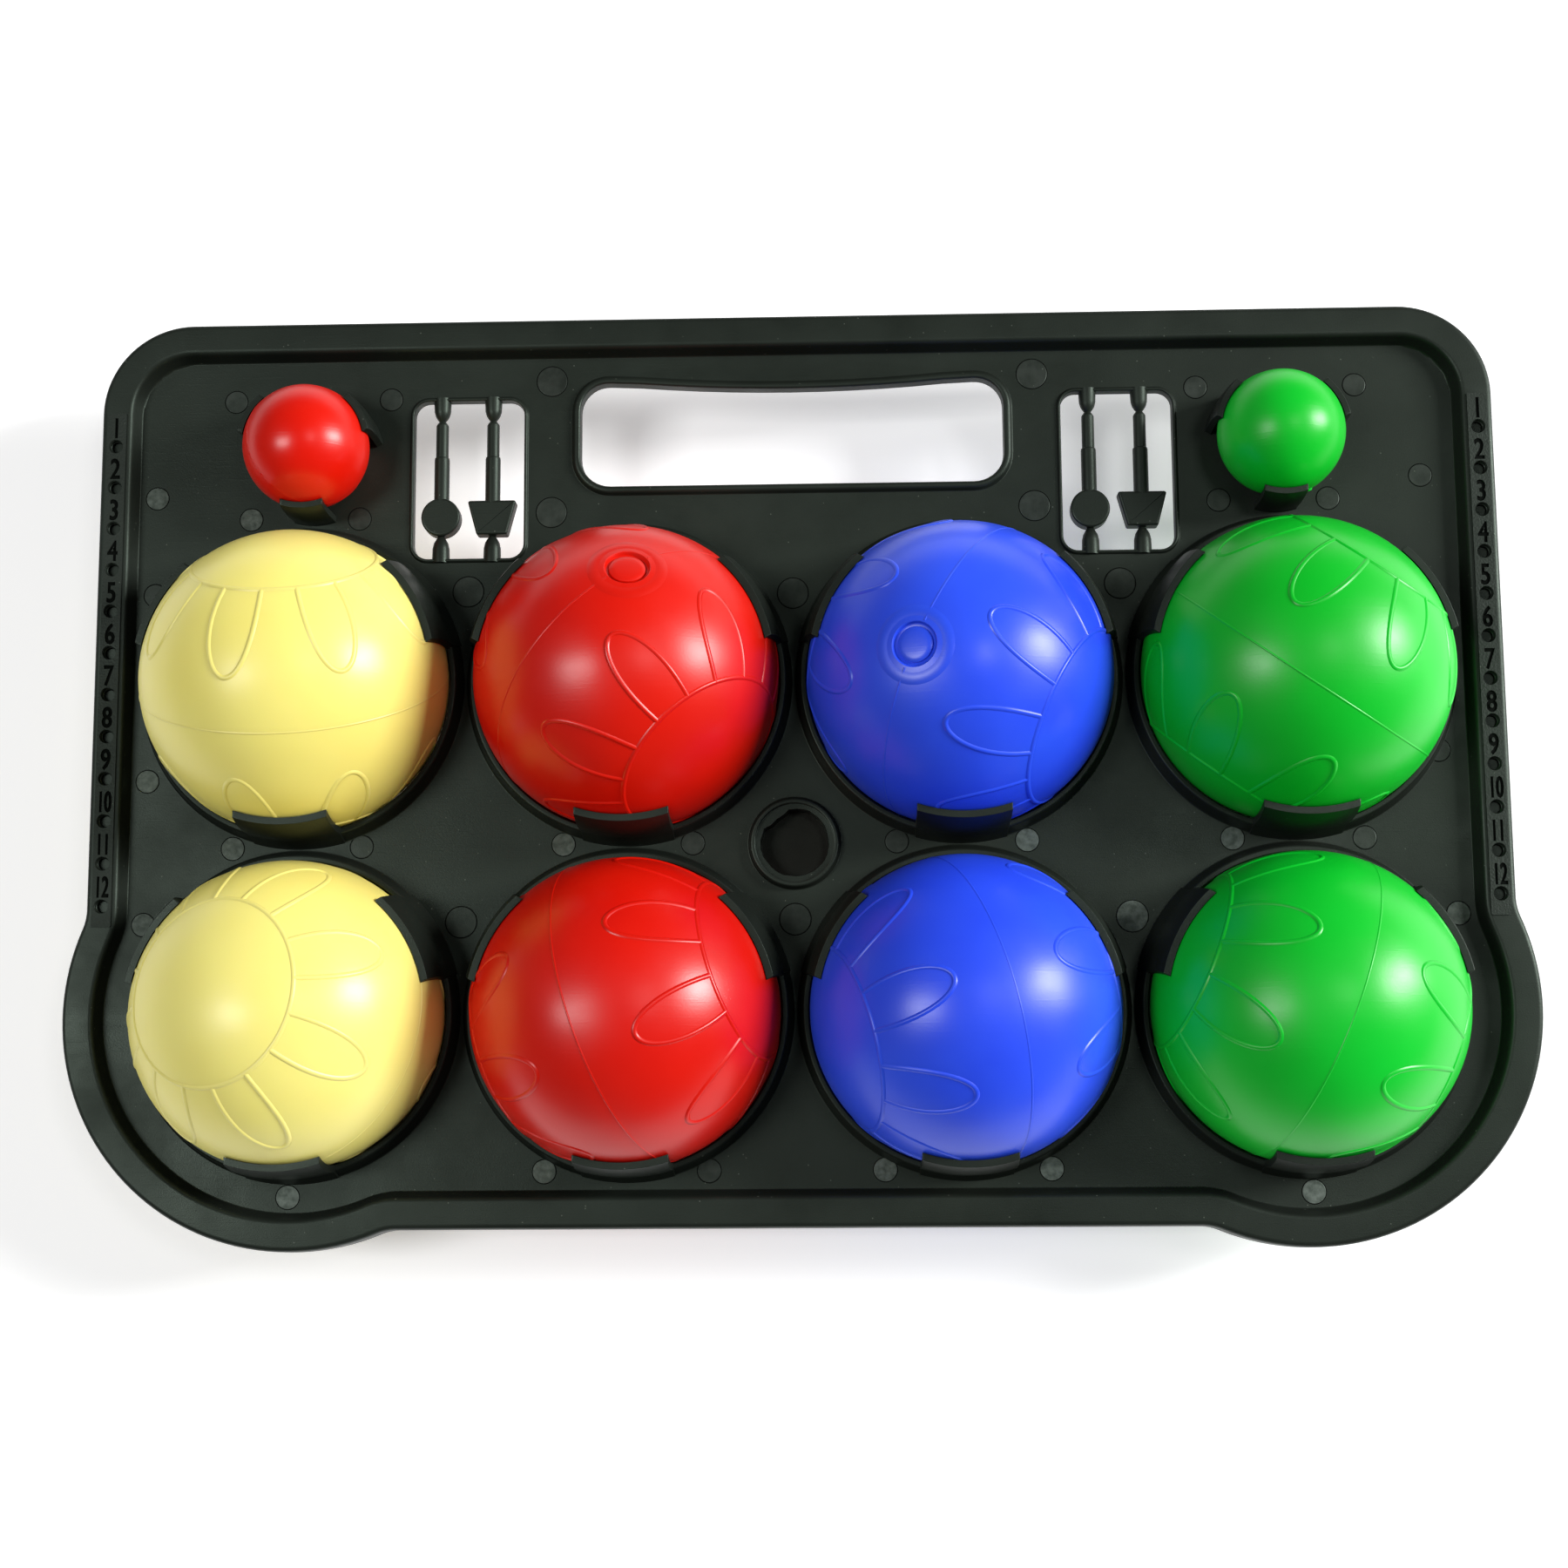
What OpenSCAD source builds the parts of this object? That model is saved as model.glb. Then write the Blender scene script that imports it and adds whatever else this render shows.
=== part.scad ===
// Bocce set: eight water-filled balls and two jacks clipped in a moulded carry tray.
// The tray lies flat, +Z is up, +Y is the handle end. Z = 0 is the lowest point of the balls.

/* [Balls] */
// Diameter of a large ball
ball_d = 90; // [88:0.5:91]
// Wall of the blow-moulded shell
shell_wall = 2.2; // [1.6:0.1:2.6]
// Diameter of a jack
jack_d = 37.3; // [36.5:0.1:38]
// Height of the air pocket over the water
air_gap = 9; // [6:1:14]

/* [Seats] */
// Distance between neighbouring ball seats, both ways
seat_pitch = 98.4; // [98:0.1:99]
// Gap between a ball and its seat
seat_gap = 0.3; // [0.25:0.05:0.4]
// Width of a ball clip
clip_w = 27.2; // [24:0.2:28]
// Height of a ball clip over the ball's centre
clip_rise = 16; // [14:0.5:17]
// Width of a jack clip
jack_clip_w = 12.6; // [11:0.2:13]
// Height of the jack clips over the jack's centre
jack_clip_rise = 5.5; // [5:0.5:7]

/* [Tray] */
// Half of the tray's width at the score strips
side_x = 210.2; // [209:0.2:212]
// Radius of the two top corners
corner_r = 28; // [24:1:30]
// Radius of the lobes round the two outer bottom balls
lobe_r = 68.8; // [68:0.2:70]
// Distance from the mid line between the two rows to the top edge
top_y = 161.5; // [160:0.5:164]
// Distance from the mid line between the two rows to the bottom edge
bottom_y = 111.8; // [110:0.2:113]
// Width of the raised rim
rim_w = 11.5; // [11:0.1:12.5]
// Height of the rim over the panel
rim_h = 5.5; // [5:0.1:6]
// Thickness of the panel
panel_t = 2.5; // [2.2:0.1:3]

/* [Score strips] */
// Holes on each strip
score_count = 12; // [10:1:12]
// Distance between two holes
score_pitch = 12.7; // [12.5:0.1:12.8]
// Diameter of a score hole
score_hole_d = 4.2; // [4:0.1:4.4]

/* [Handle and windows] */
// Width of the handle slot
slot_w = 128; // [124:1:130]
// Height of the handle slot at its ends
slot_h = 32.3; // [30:0.1:33]
// How far the slot's top edge dips at the middle
slot_dip = 2.9; // [2:0.1:3.5]
// Width of a marker window
window_w = 33.4; // [33:0.1:34]
// Height of a marker window
window_h = 48.9; // [48.5:0.1:49.5]

/* [Hidden] */
$fn = 64;

ball_r = ball_d / 2;
jack_r = jack_d / 2;
seat_r = ball_r + seat_gap;
jack_seat_r = jack_r + seat_gap;
clip_angles = [30, 150, 270];

// Heights. The balls' centres lie 9 mm over the panel.
ball_z = ball_r;
panel_z = ball_z - 9;
back_z = panel_z - panel_t;
rim_z = panel_z + rim_h;
jack_z = panel_z + 13;

// Places along Y. The origin is at the middle of the tray's outline.
half_y = (top_y + seat_pitch / 2 + lobe_r) / 2;
mid_y = half_y - top_y;
top_row_y = mid_y + seat_pitch / 2;
bottom_row_y = mid_y - seat_pitch / 2;
jack_x = 145;
jack_y = mid_y + 119.7;
slot_y = mid_y + 109.7;
window_x = 98.2;
window_y = mid_y + 88.1;

// Columns from left to right
yellow_x = -1.5 * seat_pitch;
red_x = -0.5 * seat_pitch;
blue_x = 0.5 * seat_pitch;
green_x = 1.5 * seat_pitch;

// Rim section
wall_t = 2.2;
draft = 1;
top_t = 2.4;
edge_drop = 0.6;
edge_in = 1.5;
flat_in = 2.4;
corner_lap = 1.2;

// Score strips
score_x = side_x - 5.3;
score_y = mid_y + 122.9;
score_tube_r = 3.4;

// Collars and clips
collar_base = 3.3;
collar_top = 1.6;
collar_in = 3;
collar_round = 0.5;
clip_t = 2.3;
clip_foot = 1.6;
jack_clip_t = 1.7;

// Handle and window beads
bead_w = 3;
bead_h = 1.6;
slot_corner_r = 9;
window_corner_r = 4.5;
window_bead_w = 1.4;
window_bead_h = 0.8;

// Room for cutters below and above the panel
cut_low = back_z - 10;
cut_high = 30;
far = 200;

// Centre boss
boss_r = 13.5;
boss_bore_r = 11.7;
boss_h = 3.2;
boss_depth = 6;
boss_floor_t = 1.2;

// Score markers: every height is from the bottom edge of the window
marker_z = panel_z - panel_t / 2;
marker_low = 6.9;
marker_head = 12.8;
marker_step = 31.5;
marker_top = 43;
stub_low = 4.5;
stub_high = 45.5;
stub_lap = 1;
neck_taper = 1.5;
peg_taper = 1.2;
peg_d = 3.8;
shaft_d = 4.6;
neck_d = 2;
stub_d = 5.2;
head_t = 5;
round_head_d = 11.8;
tapered_head_top = 14.9;
tapered_head_low = 9.2;
tapered_head_h = 10.6;
tapered_head_y = 7.2;
round_marker_x = -8.5;
tapered_marker_x = 7.1;

// Filler plug
plug_seat_r = 6.6;
plug_floor = ball_r - 1.8;
plug_head_r = 4.6;
plug_head_top = ball_r - 0.5;
plug_shank_r = 3;
plug_boss_r = 8;
plug_boss_in = ball_r - 4.5;
plug_dome_r = 12;
water_gap = 0.1;

// Each ball's pole [azimuth, elevation] and its plug's place round the seam
yellow_top_turn = [90, 29, 10];
red_top_turn = [-48, 23, 154];
blue_top_turn = [-26, 18, 187];
green_top_turn = [55, 15, -40];
yellow_bottom_turn = [157, 67, 18];
red_bottom_turn = [19, 15, -10];
blue_bottom_turn = [194, 16, -11];
green_bottom_turn = [158, 6, -44];

// ---- Tray outline ----

// The tray's outline, drawn in by the distance i
module outline(i) {
    top = half_y - i;
    low = mid_y - bottom_y + i;
    side = side_x - i;
    r = corner_r - i;
    translate([-side + r, bottom_row_y]) square([2 * (side - r), top - bottom_row_y]);
    translate([-side, bottom_row_y]) square([2 * side, top - r - bottom_row_y]);
    translate([-green_x, low]) square([2 * green_x, bottom_row_y - low + 1]);
    for (s = [-1, 1]) {
        translate([s * (side - r), top - r]) circle(r);
        translate([s * green_x, bottom_row_y]) circle(lobe_r - i);
    }
}

// Outer wall of the rim: u runs inwards from the outline
module outer_section() {
    polygon([
        [0, back_z],
        [draft, rim_z - edge_in],
        [edge_in, rim_z - edge_drop],
        [flat_in, rim_z],
        [flat_in + wall_t, rim_z],
        [flat_in + wall_t, rim_z - top_t],
        [draft + wall_t, rim_z - top_t],
        [wall_t, back_z]
    ]);
}

// Inner wall of the rim: u runs outwards from its foot on the panel
module inner_section() {
    polygon([
        [0, back_z],
        [0, panel_z],
        [edge_in, rim_z - edge_drop],
        [flat_in, rim_z],
        [flat_in + wall_t, rim_z],
        [flat_in + wall_t, rim_z - top_t],
        [edge_in + wall_t, rim_z - top_t],
        [wall_t, back_z]
    ]);
}

// A section swept round a circle of radius r, inwards (dir -1) or outwards (dir 1) from it
module round_wall(r, dir) {
    rotate_extrude($fn = 96) translate([r, 0]) scale_u(dir) children();
}

module scale_u(dir) {
    if (dir < 0) mirror([1, 0]) children();
    else children();
}

// A section swept along a straight line of the given length, starting at the origin along +X
module straight_wall(length) {
    rotate([90, 0, 90]) linear_extrude(length) children();
}

// Angles round a lobe where it leaves the side and the bottom edge
function side_angle(r, x) = acos((x - green_x) / r);
function low_angle(r, y) = asin((bottom_row_y - y) / r);

module quarter(x, y, sx, sy) {
    intersection() {
        children();
        translate([x + (sx < 0 ? -far : 0), y + (sy < 0 ? -far : 0), -far / 2]) cube([far, far, far]);
    }
}

// Half of the rim's two walls: top edge, corner, side, lobe and bottom edge, for X > 0
module rim_half(inset, dir) {
    side = side_x - inset;
    r = corner_r - inset;
    lobe = lobe_r - inset;
    top = half_y - inset;
    low = mid_y - bottom_y + inset;
    turn_y = half_y - corner_r;
    turn_x = side_x - corner_r;
    lap = dir < 0 ? corner_lap : 0;
    join_y = bottom_row_y + lobe * sin(side_angle(lobe, side));
    join_x = green_x - lobe * cos(low_angle(lobe, low));
    quarter(turn_x, turn_y, 1, 1) translate([turn_x, turn_y, 0]) round_wall(r, dir) children();
    translate([0, top, 0]) mirror([0, dir < 0 ? 1 : 0, 0]) straight_wall(turn_x) children();
    translate([side, turn_y, 0]) rotate([0, 0, -90]) mirror([0, dir < 0 ? 1 : 0, 0])
        straight_wall(turn_y - join_y + lap) children();
    translate([0, low, 0]) mirror([0, dir < 0 ? 0 : 1, 0]) straight_wall(join_x + lap) children();
    lobe_part(lobe, side, low) translate([green_x, bottom_row_y, 0]) round_wall(lobe, dir) children();
}

// The part of a lobe's ring that lies past the side line or past the bottom line
module lobe_part(lobe, side, low) {
    join_y = bottom_row_y + lobe * sin(side_angle(lobe, side));
    join_x = green_x - lobe * cos(low_angle(lobe, low));
    intersection() {
        children();
        linear_extrude(far) polygon([
            [green_x, bottom_row_y],
            [side + (side - green_x), join_y + (join_y - bottom_row_y)],
            [green_x + far, join_y],
            [green_x + far, bottom_row_y - far],
            [join_x - far / 4, bottom_row_y - far],
            [join_x - (green_x - join_x), low - (bottom_row_y - low)]
        ]);
    }
}

module rim() {
    for (m = [0, 1]) mirror([m, 0, 0]) {
        rim_half(0, -1) outer_section();
        rim_half(rim_w, 1) inner_section();
    }
    translate([0, 0, rim_z - top_t]) linear_extrude(top_t) difference() {
        outline(flat_in);
        outline(rim_w - flat_in);
    }
}

// ---- Seats ----

// The blocks that a seat's three clips stand in
module clip_sectors(w, reach, low, high) {
    for (a = clip_angles)
        rotate([0, 0, a]) translate([0, -w / 2, low]) cube([reach, w, high - low]);
}

// A raised ring round a ball, left open where the clips stand
module collar() {
    difference() {
        rotate_extrude($fn = 96) polygon([
            [seat_r - collar_in, 0],
            [seat_r + collar_base, 0],
            [seat_r + collar_top + collar_round, rim_h - collar_round],
            [seat_r + collar_top, rim_h],
            [seat_r - collar_in, rim_h]
        ]);
        clip_sectors(clip_w, ball_d, -1, rim_h + 1);
    }
}

module collars() {
    for (x = [yellow_x, red_x, blue_x, green_x])
        for (y = [top_row_y, bottom_row_y])
            translate([x, y, panel_z]) collar();
}

// What a ball takes out of the tray, with the straight slots under its clips
module seat_hollow(r, w, drop) {
    sphere(r, $fn = 96);
    intersection() {
        translate([0, 0, -drop - 5]) cylinder(drop + 5, r, r, $fn = 96);
        clip_sectors(w, r + 1, -drop - 5, 0);
    }
}

module seat_hollows() {
    for (x = [yellow_x, red_x, blue_x, green_x])
        for (y = [top_row_y, bottom_row_y])
            translate([x, y, ball_z]) seat_hollow(seat_r, clip_w, ball_z - back_z);
    for (s = [-1, 1])
        translate([s * jack_x, jack_y, jack_z]) seat_hollow(jack_seat_r, jack_clip_w, jack_z - back_z);
}

// ---- Openings ----

module rounded(w, h, r) {
    translate([-w / 2 + r, 0]) square([w - 2 * r, h]);
    translate([-w / 2, r]) square([w, h - 2 * r]);
    for (s = [-1, 1])
        for (y = [r, h - r])
            translate([s * (w / 2 - r), y]) circle(r, $fn = 48);
}

// Slot outline grown by g. Its top edge dips along an arc.
module slot_shape(g) {
    w = slot_w + 2 * g;
    h = slot_h + 2 * g;
    half = slot_w / 2 - slot_corner_r;
    dip_r = (half * half + slot_dip * slot_dip) / (2 * slot_dip);
    translate([0, slot_y - g]) difference() {
        rounded(w, h, slot_corner_r + g);
        translate([0, h - slot_dip + dip_r]) circle(dip_r, $fn = 360);
    }
}

module window_shape(s, g) {
    translate([s * window_x, window_y - g])
        rounded(window_w + 2 * g, window_h + 2 * g, window_corner_r + g);
}

module beads() {
    translate([0, 0, panel_z]) linear_extrude(bead_h) slot_shape(bead_w);
    for (s = [-1, 1])
        translate([0, 0, panel_z]) linear_extrude(window_bead_h) window_shape(s, window_bead_w);
}

module openings() {
    translate([0, 0, cut_low]) linear_extrude(cut_high) slot_shape(0);
    for (s = [-1, 1])
        translate([0, 0, cut_low]) linear_extrude(cut_high) window_shape(s, 0);
}

module score_holes(r, low, high) {
    for (s = [-1, 1])
        for (k = [0 : score_count - 1])
            translate([s * score_x, score_y - k * score_pitch, low]) cylinder(high - low, r, r, $fn = 24);
}

// Blind cup with a raised rim at the centre of the tray
module boss() {
    depth = panel_z - boss_depth;
    translate([0, mid_y + 0.5, depth - boss_floor_t]) {
        cylinder(boss_depth + boss_floor_t, boss_r, boss_r);
        translate([0, 0, boss_depth + boss_floor_t]) cylinder(boss_h, boss_r, boss_r - 0.6);
    }
}

module boss_bore() {
    translate([0, mid_y + 0.5, panel_z - boss_depth]) cylinder(boss_depth + boss_h + 1, boss_bore_r, boss_bore_r);
}

// ---- Score markers and the stubs that hold them ----

module rod(x, y0, y1, d) {
    translate([x, y0, 0]) rotate([-90, 0, 0]) cylinder(y1 - y0, d / 2, d / 2, $fn = 24);
}

module taper(x, y0, y1, d0, d1) {
    translate([x, y0, 0]) rotate([-90, 0, 0]) cylinder(y1 - y0, d0 / 2, d1 / 2, $fn = 24);
}

module at_window(s) {
    translate([s * window_x, window_y, marker_z]) children();
}

module stubs() {
    for (s = [-1, 1])
        for (x = [round_marker_x, tapered_marker_x])
            at_window(s) {
                rod(x, -stub_lap, stub_low, stub_d);
                taper(x, stub_low, marker_low, stub_d, neck_d);
                taper(x, marker_top, stub_high, neck_d, stub_d);
                rod(x, stub_high, window_h + stub_lap, stub_d);
            }
}

module marker_rod(x, foot) {
    taper(x, marker_low, marker_low + neck_taper, neck_d, shaft_d);
    rod(x, foot, marker_step, shaft_d);
    rod(x, marker_step, marker_top - peg_taper, peg_d);
    taper(x, marker_top - peg_taper, marker_top, peg_d, neck_d);
}

module round_marker(s) {
    color("#2a2e2a") at_window(s) {
        marker_rod(round_marker_x, marker_head);
        translate([round_marker_x, marker_head, -head_t / 2]) cylinder(head_t, round_head_d / 2, round_head_d / 2);
    }
}

module tapered_marker(s) {
    color("#2a2e2a") at_window(s) {
        marker_rod(tapered_marker_x, marker_head);
        translate([tapered_marker_x, tapered_head_y, -head_t / 2]) linear_extrude(head_t) polygon([
            [-tapered_head_low / 2, 0],
            [tapered_head_low / 2, 0],
            [tapered_head_top / 2, tapered_head_h],
            [-tapered_head_top / 2, tapered_head_h]
        ]);
    }
}

// ---- Carry tray ----

module panel() {
    translate([0, 0, back_z]) linear_extrude(panel_t) outline(rim_w - corner_lap);
}

module carry_tray() {
    color("#2c302c") {
        difference() {
            union() {
                panel();
                rim();
                collars();
                beads();
                boss();
                score_holes(score_tube_r, back_z, rim_z - 1);
            }
            seat_hollows();
            openings();
            score_holes(score_hole_d / 2, back_z - 1, rim_z + 1);
            boss_bore();
        }
        stubs();
    }
}

// ---- Clips ----

// Three clips round a seat. They stand on the panel and curve in over the ball.
module ball_clips(x, y) {
    drop = ball_z - panel_z;
    outer_r = seat_r + clip_t;
    color("#262a26") translate([x, y, ball_z]) intersection() {
        difference() {
            union() {
                sphere(outer_r, $fn = 96);
                translate([0, 0, -drop]) cylinder(drop, outer_r + clip_foot, outer_r, $fn = 96);
            }
            sphere(seat_r, $fn = 96);
            translate([0, 0, -drop - 1]) cylinder(drop + 1, seat_r, seat_r, $fn = 96);
        }
        clip_sectors(clip_w, ball_d, -drop, clip_rise);
    }
}

module jack_clips(x) {
    drop = jack_z - panel_z;
    outer_r = jack_seat_r + jack_clip_t;
    color("#262a26") translate([x, jack_y, jack_z]) intersection() {
        difference() {
            union() {
                sphere(outer_r, $fn = 96);
                translate([0, 0, -drop]) cylinder(drop, outer_r, outer_r, $fn = 96);
            }
            sphere(jack_seat_r, $fn = 96);
            translate([0, 0, -drop - 1]) cylinder(drop + 1, jack_seat_r, jack_seat_r, $fn = 96);
        }
        clip_sectors(jack_clip_w, jack_d, -drop, jack_clip_rise);
    }
}

// ---- Balls ----

// Turns a ball's pole from +Z to its place, and its plug from +X round the seam
module turned(turn) {
    rotate([0, 90 - turn[1], turn[0]]) rotate([0, 0, turn[2]]) children();
}

module along_plug(from) {
    rotate([0, 90, 0]) translate([0, 0, from]) children();
}

module ball_shell(x, y, turn, tint) {
    color(tint) translate([x, y, ball_z]) turned(turn) difference() {
        sphere(ball_r, $fn = 96);
        difference() {
            sphere(ball_r - shell_wall, $fn = 96);
            along_plug(plug_boss_in) cylinder(ball_r, plug_boss_r, plug_boss_r);
        }
        along_plug(plug_floor) cylinder(ball_r, plug_seat_r, plug_seat_r);
        along_plug(plug_boss_in - 1) cylinder(ball_r, plug_shank_r, plug_shank_r);
    }
}

module filler_plug(x, y, turn, tint) {
    shank = plug_floor - plug_boss_in;
    color(tint) translate([x, y, ball_z]) turned(turn) {
        along_plug(plug_boss_in) cylinder(shank + 0.5, plug_shank_r, plug_shank_r, $fn = 32);
        intersection() {
            along_plug(plug_floor) cylinder(3, plug_head_r, plug_head_r, $fn = 48);
            along_plug(plug_head_top - plug_dome_r) sphere(plug_dome_r);
        }
    }
}

module water_fill(x, y, turn) {
    fill_r = ball_r - shell_wall - water_gap;
    color("#bfe4f2", 0.5) translate([x, y, ball_z]) difference() {
        sphere(fill_r, $fn = 96);
        translate([-ball_r, -ball_r, fill_r - air_gap]) cube([ball_d, ball_d, ball_d]);
        turned(turn) along_plug(plug_boss_in - water_gap) cylinder(ball_r, plug_boss_r + water_gap, plug_boss_r + water_gap);
    }
}

module jack(x, tint) {
    color(tint) translate([x, jack_y, jack_z]) sphere(jack_r, $fn = 96);
}

yellow = "#f2e56e";
red = "#d81a08";
blue = "#2a46e6";
green = "#12b030";

carry_tray();
ball_clips(yellow_x, top_row_y);  // clips_yellow_top
ball_clips(red_x, top_row_y);  // clips_red_top
ball_clips(blue_x, top_row_y);  // clips_blue_top
ball_clips(green_x, top_row_y);  // clips_green_top
ball_clips(yellow_x, bottom_row_y);  // clips_yellow_bottom
ball_clips(red_x, bottom_row_y);  // clips_red_bottom
ball_clips(blue_x, bottom_row_y);  // clips_blue_bottom
ball_clips(green_x, bottom_row_y);  // clips_green_bottom
jack_clips(-jack_x);  // clips_red_jack
jack_clips(jack_x);  // clips_green_jack
ball_shell(yellow_x, top_row_y, yellow_top_turn, yellow);  // ball_yellow_top
ball_shell(red_x, top_row_y, red_top_turn, red);  // ball_red_top
ball_shell(blue_x, top_row_y, blue_top_turn, blue);  // ball_blue_top
ball_shell(green_x, top_row_y, green_top_turn, green);  // ball_green_top
ball_shell(yellow_x, bottom_row_y, yellow_bottom_turn, yellow);  // ball_yellow_bottom
ball_shell(red_x, bottom_row_y, red_bottom_turn, red);  // ball_red_bottom
ball_shell(blue_x, bottom_row_y, blue_bottom_turn, blue);  // ball_blue_bottom
ball_shell(green_x, bottom_row_y, green_bottom_turn, green);  // ball_green_bottom
filler_plug(yellow_x, top_row_y, yellow_top_turn, yellow);  // plug_yellow_top
filler_plug(red_x, top_row_y, red_top_turn, red);  // plug_red_top
filler_plug(blue_x, top_row_y, blue_top_turn, blue);  // plug_blue_top
filler_plug(green_x, top_row_y, green_top_turn, green);  // plug_green_top
filler_plug(yellow_x, bottom_row_y, yellow_bottom_turn, yellow);  // plug_yellow_bottom
filler_plug(red_x, bottom_row_y, red_bottom_turn, red);  // plug_red_bottom
filler_plug(blue_x, bottom_row_y, blue_bottom_turn, blue);  // plug_blue_bottom
filler_plug(green_x, bottom_row_y, green_bottom_turn, green);  // plug_green_bottom
water_fill(yellow_x, top_row_y, yellow_top_turn);  // water_yellow_top
water_fill(red_x, top_row_y, red_top_turn);  // water_red_top
water_fill(blue_x, top_row_y, blue_top_turn);  // water_blue_top
water_fill(green_x, top_row_y, green_top_turn);  // water_green_top
water_fill(yellow_x, bottom_row_y, yellow_bottom_turn);  // water_yellow_bottom
water_fill(red_x, bottom_row_y, red_bottom_turn);  // water_red_bottom
water_fill(blue_x, bottom_row_y, blue_bottom_turn);  // water_blue_bottom
water_fill(green_x, bottom_row_y, green_bottom_turn);  // water_green_bottom
jack(-jack_x, red);  // jack_red
jack(jack_x, green);  // jack_green
round_marker(-1);  // marker_round_left
tapered_marker(-1);  // marker_tapered_left
round_marker(1);  // marker_round_right
tapered_marker(1);  // marker_tapered_right
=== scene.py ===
import math
import random
import bmesh
import bpy
from mathutils import Matrix, Vector


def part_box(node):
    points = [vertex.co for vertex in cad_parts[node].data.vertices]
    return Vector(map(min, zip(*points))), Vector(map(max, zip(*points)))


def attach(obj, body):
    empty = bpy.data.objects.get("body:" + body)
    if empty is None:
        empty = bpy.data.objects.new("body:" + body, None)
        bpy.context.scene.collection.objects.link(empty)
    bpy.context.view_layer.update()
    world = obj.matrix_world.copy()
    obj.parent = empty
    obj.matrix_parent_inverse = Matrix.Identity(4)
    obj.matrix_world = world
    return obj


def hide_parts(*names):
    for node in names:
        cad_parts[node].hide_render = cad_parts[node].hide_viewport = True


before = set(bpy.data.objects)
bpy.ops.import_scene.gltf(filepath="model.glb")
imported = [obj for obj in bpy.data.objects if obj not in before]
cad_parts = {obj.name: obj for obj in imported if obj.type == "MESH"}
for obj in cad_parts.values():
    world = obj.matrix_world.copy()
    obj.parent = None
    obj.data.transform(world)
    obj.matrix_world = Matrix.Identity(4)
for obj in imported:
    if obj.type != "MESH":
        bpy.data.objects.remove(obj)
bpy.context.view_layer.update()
scene = bpy.context.scene
scene.view_settings.view_transform = "Standard"
mm = 0.001  # pieces are modelled in millimetres and scaled once at the end
random.seed(7)
print("stage: frame loaded")


def boxMm(node):
    lo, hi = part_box(node)
    return lo / mm, hi / mm


tray = {"lobeRadius": 68.8, "sideHalf": 210.2, "cornerRadius": 28, "rimHeight": 5.5,
        "panelThickness": 2.5, "bottomFromMid": 111.8, "topFromMid": 161.5, "joinRound": 2.6,
        "rimWall": 2.2}
colours = ["yellow", "red", "blue", "green"]
rows = ["top", "bottom"]
seatReach = 49.2  # foot radius of a clip, the lowest point of its box
seatPlace = {}
for colourName in colours:
    for rowName in rows:
        lo, hi = boxMm("clips_" + colourName + "_" + rowName)
        seatPlace[colourName, rowName] = Vector(((lo.x + hi.x) / 2, lo.y + seatReach, 0))
topRow = seatPlace["red", "top"].y
bottomRow = seatPlace["red", "bottom"].y
midY = (topRow + bottomRow) / 2
panelZ = boxMm("clips_red_top")[0].z
backZ = panelZ - tray["panelThickness"]
rimZ = panelZ + tray["rimHeight"]
ballZ = panelZ + 9
ballRadius = 45.0


def shaderNodes(name):
    mat = bpy.data.materials.new(name)
    mat.use_nodes = True
    tree = mat.node_tree
    shader = tree.nodes["Principled BSDF"]
    coords = tree.nodes.new("ShaderNodeTexCoord")
    return mat, tree, shader, coords


def addNoise(tree, coords, scale, detail=3, rough=0.55, stretch=None):
    noise = tree.nodes.new("ShaderNodeTexNoise")
    noise.inputs["Scale"].default_value = scale
    noise.inputs["Detail"].default_value = detail
    noise.inputs["Roughness"].default_value = rough
    if stretch:
        mapping = tree.nodes.new("ShaderNodeMapping")
        mapping.inputs["Scale"].default_value = stretch[0]
        mapping.inputs["Rotation"].default_value = stretch[1]
        tree.links.new(coords.outputs["Object"], mapping.inputs["Vector"])
        tree.links.new(mapping.outputs["Vector"], noise.inputs["Vector"])
    else:
        tree.links.new(coords.outputs["Object"], noise.inputs["Vector"])
    return noise.outputs["Fac"]


def remap(tree, value, fromLow, fromHigh, toLow, toHigh):
    node = tree.nodes.new("ShaderNodeMapRange")
    node.inputs["From Min"].default_value = fromLow
    node.inputs["From Max"].default_value = fromHigh
    node.inputs["To Min"].default_value = toLow
    node.inputs["To Max"].default_value = toHigh
    tree.links.new(value, node.inputs["Value"])
    return node.outputs["Result"]


def blendColour(tree, factor, first, second):
    node = tree.nodes.new("ShaderNodeMix")
    node.data_type = "RGBA"
    tree.links.new(factor, node.inputs["Factor"])
    for socket, value in ((node.inputs[6], first), (node.inputs[7], second)):
        if isinstance(value, (tuple, list)):
            socket.default_value = (*value, 1)
        else:
            tree.links.new(value, socket)
    return node.outputs[2]


def addBump(tree, height, distance, strength, below=None):
    node = tree.nodes.new("ShaderNodeBump")
    node.inputs["Distance"].default_value = distance
    node.inputs["Strength"].default_value = strength
    tree.links.new(height, node.inputs["Height"])
    if below:
        tree.links.new(below, node.inputs["Normal"])
    return node.outputs["Normal"]


def addSpecks(tree, coords, scale, size):
    cells = tree.nodes.new("ShaderNodeTexVoronoi")
    cells.inputs["Scale"].default_value = scale
    cells.inputs["Randomness"].default_value = 1.0
    tree.links.new(coords.outputs["Object"], cells.inputs["Vector"])
    return remap(tree, cells.outputs["Distance"], size * 0.6, size, 1, 0)


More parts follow.
